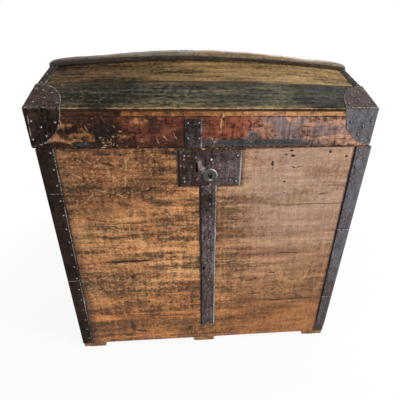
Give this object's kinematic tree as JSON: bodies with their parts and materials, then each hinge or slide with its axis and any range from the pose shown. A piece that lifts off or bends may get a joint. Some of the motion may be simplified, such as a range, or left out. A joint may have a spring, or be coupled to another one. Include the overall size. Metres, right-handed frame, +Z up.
{
  "type": "travel trunk",
  "caption": "Iron-bound wooden travel trunk with a domed hinged lid, runners, end handles and a front lock.",
  "frame": {"origin": "on the floor under the middle of the trunk's body", "axes": "+X to the right seen from the front, +Y to the back, +Z up"},
  "size_m": [0.799, 0.4488, 0.8271],
  "materials": {
    "varnished_pine": "worn varnish",
    "red_stained_wood": "worn varnish",
    "dark_painted_wood": "worn paint",
    "ochre_wood": "weathered",
    "pale_pine": "bare",
    "dark_iron": "rusted sheet iron",
    "grey_iron": "worn",
    "nail_iron": "worn domed heads",
    "old_brass": "tarnished"
  },
  "bodies": {
    "trunk_body": {"front_board_1": "varnished_pine", "front_board_2": "varnished_pine", "front_board_3": "varnished_pine", "front_board_4": "varnished_pine", "back_board_1": "varnished_pine", "back_board_2": "varnished_pine", "back_board_3": "varnished_pine", "left_side_board_1": "varnished_pine", "left_side_board_2": "varnished_pine", "left_side_board_3": "varnished_pine", "right_side_board_1": "varnished_pine", "right_side_board_2": "varnished_pine", "right_side_board_3": "varnished_pine", "bottom_boards": "varnished_pine", "runner_left": "pale_pine", "runner_centre": "pale_pine", "runner_right": "pale_pine", "front_left_corner_iron_upper": "dark_iron", "front_left_corner_iron_middle": "dark_iron", "front_left_corner_iron_lower": "dark_iron", "front_right_corner_iron_upper": "dark_iron", "front_right_corner_iron_middle": "dark_iron", "front_right_corner_iron_lower": "dark_iron", "rear_left_corner_iron": "dark_iron", "rear_right_corner_iron": "dark_iron", "centre_strap": "dark_iron", "lock_plate": "dark_iron", "lock_escutcheon": "grey_iron", "lock_case": "dark_iron", "lock_screws": "nail_iron", "hinge_leaf_left": "dark_iron", "hinge_leaf_right": "dark_iron", "hinge_pins": "dark_iron", "handle_plate_left": "dark_iron", "handle_plate_right": "dark_iron", "body_nails": "nail_iron"},
    "lid": {"lid_front_board": "red_stained_wood", "lid_back_board": "red_stained_wood", "lid_left_end": "red_stained_wood", "lid_right_end": "red_stained_wood", "lid_front_stave": "dark_painted_wood", "lid_front_panel": "ochre_wood", "lid_back_panel": "ochre_wood", "lid_back_stave": "dark_painted_wood", "ridge_slat": "ochre_wood", "lid_front_left_corner_iron": "dark_iron", "lid_front_right_corner_iron": "dark_iron", "lid_rear_left_corner_iron": "dark_iron", "lid_rear_right_corner_iron": "dark_iron", "lid_end_band_left": "dark_iron", "lid_end_band_right": "dark_iron", "hasp_plate": "dark_iron", "lid_hinge_strap_left": "dark_iron", "lid_hinge_strap_right": "dark_iron", "lid_nails": "nail_iron"},
    "handle_left": {"handle_left": "dark_iron"},
    "handle_right": {"handle_right": "dark_iron"},
    "key_plug": {"key_plug": "old_brass"},
    "lock_bolt": {"lock_bolt": "dark_iron"}
  },
  "joints": [
    {"name": "lid_hinge", "type": "hinge", "parent": "trunk_body", "child": "lid", "pos_m": [0, 0.2218, 0.64], "axis": [-1, 0, 0], "range_deg": [0, 105]},
    {"name": "left_handle_hinge", "type": "hinge", "parent": "trunk_body", "child": "handle_left", "pos_m": [-0.3915, 0, 0.43], "axis": [0, 1, 0], "range_deg": [0, 170]},
    {"name": "right_handle_hinge", "type": "hinge", "parent": "trunk_body", "child": "handle_right", "pos_m": [0.3915, 0, 0.43], "axis": [0, -1, 0], "range_deg": [0, 170]},
    {"name": "key_turn", "type": "hinge", "parent": "trunk_body", "child": "key_plug", "pos_m": [0, -0.218, 0.573], "axis": [0, -1, 0], "range_deg": [-180, 0]},
    {"name": "bolt_slide", "type": "slide", "parent": "trunk_body", "child": "lock_bolt", "axis": [1, 0, 0], "range_m": [-0.012, 0]}
  ],
  "couplings": [
    {"joint": "bolt_slide", "follows": "key_turn", "m_per_rad": 0.0038197}
  ]
}
